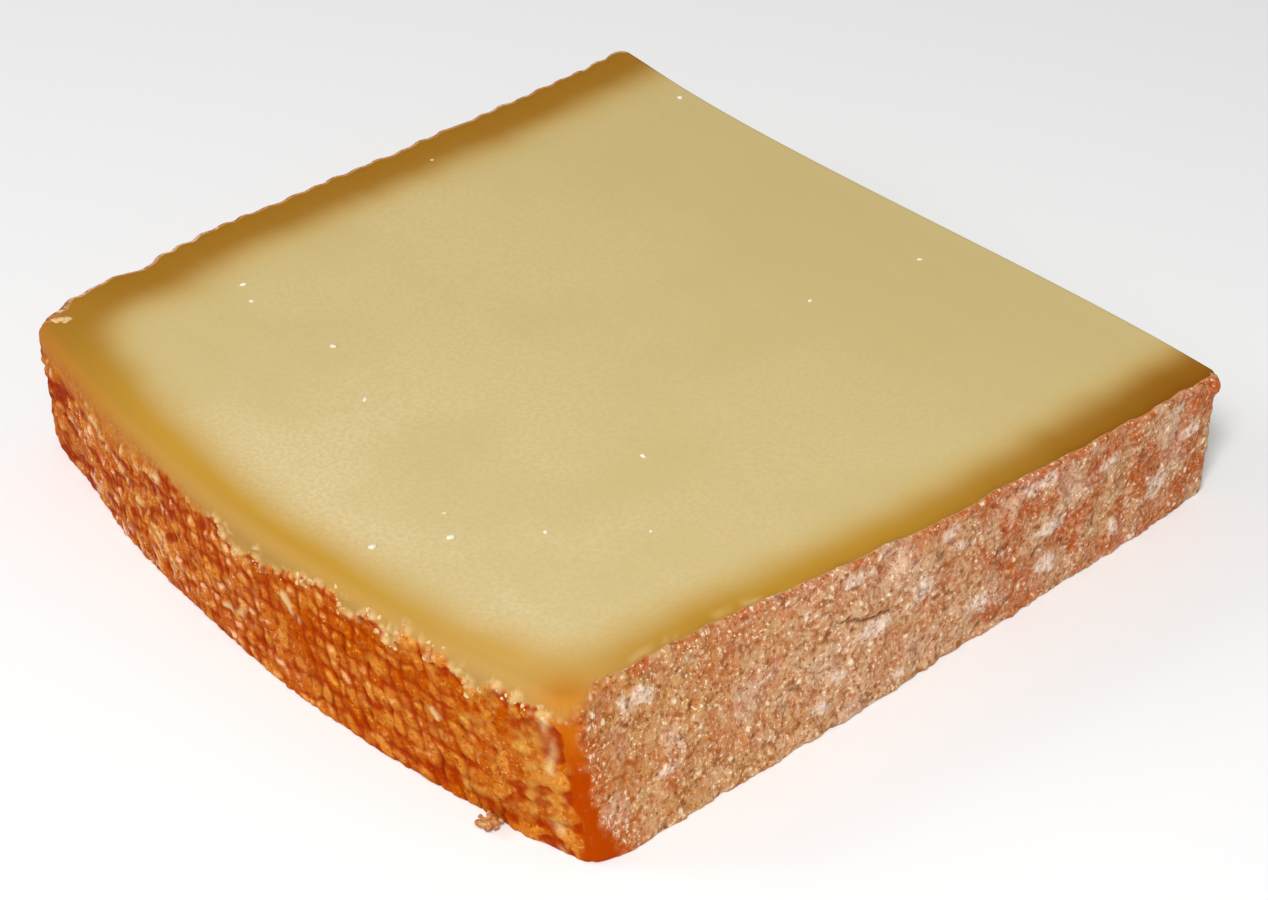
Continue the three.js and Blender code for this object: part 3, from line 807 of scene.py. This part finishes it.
glassy = blend(spread(axes["Z"], 0.011, 0.018), AMBER, AMBER_LIGHT)
glassy_cover = math_of("MULTIPLY", mark("amber"), spread(cloud(1.1, 3), 0.52, 0.66, 1.0, 0.94))
rind = blend(glassy_cover, blend(mark("heel"), crust, heel), glassy)
colour = blend(mark("rind"), paste, rind)

dry = math_of("MULTIPLY", mark("rind"), math_of("SUBTRACT", 1.0, mark("amber")))
rough = math_of("ADD", spread(cloud(0.7, 3), 0.3, 0.7, 0.36, 0.6), math_of("MULTIPLY", dry, 0.05))
bump_height = math_of("MULTIPLY", cloud(0.35, 4, 0.65), spread(dry, 0, 1, 0.02, 1.0))
bump = add("ShaderNodeBump", {"Strength": 0.7, "Distance": 0.25 * MM, "Height": bump_height})
glints = math_of("MULTIPLY", dry, spread(cloud(0.45), 0.58, 0.7, 0.0, 0.1))
surface = add("ShaderNodeBsdfPrincipled", {
    "Base Color": colour, "Roughness": rough, "Normal": bump.outputs["Normal"],
    "Specular IOR Level": 0.01, "Specular Tint": SHINE,
    "Coat Weight": glints, "Coat Roughness": 0.25,
    "Subsurface Weight": 0.1, "Subsurface Radius": (1.0, 0.5, 0.2), "Subsurface Scale": 1.5 * MM,
})
add("ShaderNodeOutputMaterial", {"Surface": surface.outputs["BSDF"]})


def piece(name, points, faces, material):
    """A smooth mesh of the object, with its material, that rides with the slab."""
    mesh = bpy.data.meshes.new(name)
    mesh.from_pydata((np.asarray(points) * MM).tolist(), [], faces)
    mesh.update()
    mesh.polygons.foreach_set("use_smooth", np.ones(len(mesh.polygons), bool))
    mesh.materials.append(material)
    made = bpy.data.objects.new(name, mesh)
    bpy.context.scene.collection.objects.link(made)
    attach(made, "root")
    return made


slab = piece("cheese", vertices, all_faces, cheese)
for name, values in point_marks.items():
    slab.data.attributes.new(name, "FLOAT", "POINT").data.foreach_set("value", values.astype(np.float32))
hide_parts(SLAB)

# The crumbs
# Broken bits of paste and dry rind. They stick along the torn edge of the heel, and a few flakes lie on
# the upper cut, most of them by the left corner.
CLUMPS = (51.5, 58.5, 66.5, 73, 79, 82.5, 89, 94, 101, 105)  # along the heel, where most of them stick
CLUMP_BITS = 11
CLUMP_SPREAD = 1.0
HEEL_BITS = 20
BIT_SIZES = (0.14, 0.46)
BIT_SINK = 0.6  # how much of a bit's size is below the rind
BIT_DENTS = (5, 2.4, 0.11)  # the waves that dent a bit: how many, how close, and how deep
BIT_STRETCH = (0.55, 1.15)
BIT_RUN = (45, 105)  # single bits stick along this stretch of the heel
BIT_MARGINS = (2, 1.5)  # no bit is closer to the left corner or the front corner
BIT_ROWS = (-4, 2)  # rows of the skin, counted from the tear, between which the bits stick
FLAKES = (  # x, y and size of the flakes on the cut
    (-48.9, -46.6, 0.6), (-48.5, -45.9, 0.8), (-48.2, -45.1, 0.7), (-47.8, -45.8, 0.5),
    (-48.6, 14.0, 0.4), (-35.4, -31.0, 0.3),
)
FLAKE_THICKNESS = 0.22  # as a share of its size


def bits(places, sizes, seed, thickness=1.0):
    """Joined mesh of small broken bits: its points and triangles."""
    random = np.random.default_rng(seed)
    ball = bmesh.new()
    bmesh.ops.create_icosphere(ball, subdivisions=2, radius=1)
    ball_points = np.array([corner.co for corner in ball.verts])
    ball_faces = np.array([[corner.index for corner in face.verts] for face in ball.faces])
    ball.free()
    dents, closeness, depth = BIT_DENTS
    points = []
    faces = []
    for place, size in zip(places, sizes):
        waves = ball_points @ random.normal(0, closeness, (3, dents)) + random.uniform(0, math.tau, dents)
        turn, _ = np.linalg.qr(random.normal(0, 1, (3, 3)))
        turn *= np.linalg.det(turn)
        dented = ball_points * (1 + depth * np.sin(waves).sum(axis=1, keepdims=True))
        shape = dented * random.uniform(*BIT_STRETCH, 3)
        points.append(place + size * shape @ turn * (1, 1, thickness))
        faces.append(ball_faces + len(ball_points) * len(faces))
    return np.concatenate(points), np.concatenate(faces).tolist()


random = np.random.default_rng(80)
clump_places = np.concatenate([random.normal(place, CLUMP_SPREAD, CLUMP_BITS) for place in CLUMPS])
heel_places = np.r_[clump_places, random.uniform(*BIT_RUN, HEEL_BITS)]
heel_places = np.clip(heel_places, BIT_MARGINS[0], wall_length["heel"] - BIT_MARGINS[1])
bit_columns = (heel_places / wall_length["heel"] * wall_columns["heel"]).astype(int)
bit_rows = tear_row[bit_columns] + random.integers(*BIT_ROWS, len(bit_columns))
bit_rows = np.clip(bit_rows, 0, len(sides) - 1)
low_size, high_size = BIT_SIZES
bit_sizes = low_size + (high_size - low_size) * random.uniform(0, 1, len(bit_rows)) ** 2
flake_x, flake_y, flake_sizes = np.transpose(FLAKES)
flake_places = np.stack([flake_x, flake_y, face_height(flake_x, flake_y)], axis=1)
bit_places = sides[bit_rows, bit_columns] - BIT_SINK * bit_sizes[:, None] * outward[bit_rows, bit_columns]


def crumbly(name, colour, other):
    """A dry crumbly material of two mingled colours."""
    made = start_material(name)
    mingled = blend(spread(cloud(0.9, 3), 0.4, 0.62), colour, other)
    grain = add("ShaderNodeBump", {"Strength": 0.6, "Distance": 0.15 * MM, "Height": cloud(0.25, 3)})
    surface = add("ShaderNodeBsdfPrincipled", {
        "Base Color": mingled, "Roughness": spread(cloud(0.4), 0.3, 0.7, 0.4, 0.65),
        "Normal": grain.outputs["Normal"], "Specular IOR Level": 0.2,
    })
    add("ShaderNodeOutputMaterial", {"Surface": surface.outputs["BSDF"]})
    return made


crumb = crumbly("crumb", CREAM, CRUST_TAN)
piece("crumbs", *bits(bit_places, bit_sizes, 81), crumb)
piece("flakes", *bits(flake_places, flake_sizes, 82, FLAKE_THICKNESS), crumb)

# The crystals
# Small white grains that grow in the paste as it ripens. The wire laid a few of them bare on the cut.
CRYSTALS = (  # x and y on the cut
    (-36.3, -25.4), (-40.1, -24.0), (-21.5, -24.1), (-9.9, -28.3), (20.8, -10.8), (14.1, -35.7),
    (18.1, -38.2), (13.7, -46.0), (24.5, -29.3), (32.3, -20.1), (12.0, 45.5), (9.7, 27.9), (-39.2, 50.8),
)
CRYSTAL_SIZES = (0.3, 0.52)
CRYSTAL_THICKNESS = 0.5  # as a share of their size
CRYSTAL_WHITE = paint(246, 238, 218)
CRYSTAL_GREY = paint(226, 214, 184)

random = np.random.default_rng(90)
crystal_x, crystal_y = np.transpose(CRYSTALS)
crystal_sizes = random.uniform(*CRYSTAL_SIZES, len(CRYSTALS))
crystal_places = np.stack([crystal_x, crystal_y, face_height(crystal_x, crystal_y)], axis=1)
crystal = crumbly("crystal", CRYSTAL_WHITE, CRYSTAL_GREY)
piece("crystals", *bits(crystal_places, crystal_sizes, 91, CRYSTAL_THICKNESS), crystal)

# The rind scrap
# A torn bit of the heel's rind that still hangs at its lower edge near the front corner. Its grains are
# fused into one crumbly lump.
SCRAP_PLACE = 0.88  # as a share of the heel's length
SCRAP_GRAINS = 26
SCRAP_WIDTH = 3.2
SCRAP_REACH = 2.3
SCRAP_HEIGHT = (0.55, 1.6)
SCRAP_SIZES = (0.3, 0.56)
SCRAP_VOXEL = 0.11
SCRAP_CLEAR = 0.02  # above the floor

random = np.random.default_rng(100)
scrap_column = round(SCRAP_PLACE * wall_columns["heel"])
scrap_out = outward[0, scrap_column]
scrap_along = np.array([-scrap_out[1], scrap_out[0], 0])
reach_shares = random.uniform(0, 1, SCRAP_GRAINS)[:, None]
sideways = random.uniform(-0.5, 0.5, SCRAP_GRAINS)[:, None] * SCRAP_WIDTH * (1 - 0.5 * reach_shares)
scrap_places = lower_ring[scrap_column] + reach_shares * SCRAP_REACH * scrap_out + sideways * scrap_along
scrap_places[:, 2] = random.uniform(*SCRAP_HEIGHT, SCRAP_GRAINS)
scrap_sizes = random.uniform(*SCRAP_SIZES, SCRAP_GRAINS)
loose_points, loose_faces = bits(scrap_places, scrap_sizes, 101)
loose_points[:, 2] = np.maximum(loose_points[:, 2], SCRAP_CLEAR)
loose_mesh = bpy.data.meshes.new("loose")
loose_mesh.from_pydata((loose_points * MM).tolist(), [], loose_faces)
loose = bpy.data.objects.new("loose", loose_mesh)
bpy.context.scene.collection.objects.link(loose)
fuse = loose.modifiers.new("fuse", "REMESH")
fuse.mode = "VOXEL"
fuse.voxel_size = SCRAP_VOXEL * MM
fused = bpy.data.meshes.new_from_object(loose.evaluated_get(bpy.context.evaluated_depsgraph_get()))
fused_points = np.array([corner.co for corner in fused.vertices]) / MM
fused_faces = [list(face.vertices) for face in fused.polygons]
bpy.data.objects.remove(loose)
piece("rind_scrap", fused_points, fused_faces, crumbly("scrap", CRUST_TAN, CRUST_BROWN))

# The studio
# A plain pale floor under the slab, a soft lamp high over the front corner, a weaker one on the heel's
# side, and an even pale sky.
FLOOR_SIZE = 6.0
FLOOR_PALE = (0.9, 0.9, 0.9, 1)
FLOOR_ROUGHNESS = 0.8
SKY = 0.3
CAMERA_TARGET = Vector((8.78, -1.40, 10.0)) * MM
CAMERA_DISTANCE = 413.9 * MM
CAMERA_AZIMUTH = math.radians(47.75)
CAMERA_ELEVATION = math.radians(36.23)
CAMERA_LENS = 95.03
LAMPS = {  # place and size in metres, and watts
    "key": ((0.36, -0.42, 0.66), 0.22, 6.4), "side": ((-0.55, -0.5, 0.5), 0.3, 1.4),
}

floor_mesh = bpy.data.meshes.new("floor")
half = FLOOR_SIZE / 2
floor_corners = [(half * x, half * y, 0) for x, y in CORNER_WAYS]
floor_mesh.from_pydata(floor_corners, [], [(0, 1, 2, 3)])
floor_paint = bpy.data.materials.new("floor")
floor_paint.use_nodes = True
floor_surface = floor_paint.node_tree.nodes["Principled BSDF"]
floor_surface.inputs["Base Color"].default_value = FLOOR_PALE
floor_surface.inputs["Roughness"].default_value = FLOOR_ROUGHNESS
floor_mesh.materials.append(floor_paint)
floor = bpy.data.objects.new("floor", floor_mesh)
bpy.context.scene.collection.objects.link(floor)

world = bpy.data.worlds.new("sky")
world.use_nodes = True
world.node_tree.nodes["Background"].inputs["Color"].default_value = (1, 1, 1, 1)
world.node_tree.nodes["Background"].inputs["Strength"].default_value = SKY
bpy.context.scene.world = world

for name, (place, size, power) in LAMPS.items():
    lamp = bpy.data.lights.new(name, "AREA")
    lamp.size = size
    lamp.energy = power
    lamp_object = bpy.data.objects.new(name, lamp)
    lamp_object.location = place
    lamp_object.rotation_euler = (-Vector(place)).to_track_quat("-Z", "Y").to_euler()
    bpy.context.scene.collection.objects.link(lamp_object)

camera = bpy.data.cameras.new("camera")
camera.sensor_fit = "HORIZONTAL"
camera.lens = CAMERA_LENS
camera_object = bpy.data.objects.new("camera", camera)
back = Vector((
    math.sin(CAMERA_AZIMUTH) * math.cos(CAMERA_ELEVATION),
    -math.cos(CAMERA_AZIMUTH) * math.cos(CAMERA_ELEVATION),
    math.sin(CAMERA_ELEVATION),
))
camera_object.location = CAMERA_TARGET + CAMERA_DISTANCE * back
camera_object.rotation_euler = back.to_track_quat("Z", "Y").to_euler()
bpy.context.scene.collection.objects.link(camera_object)
bpy.context.scene.camera = camera_object
bpy.context.scene.view_settings.view_transform = "Standard"
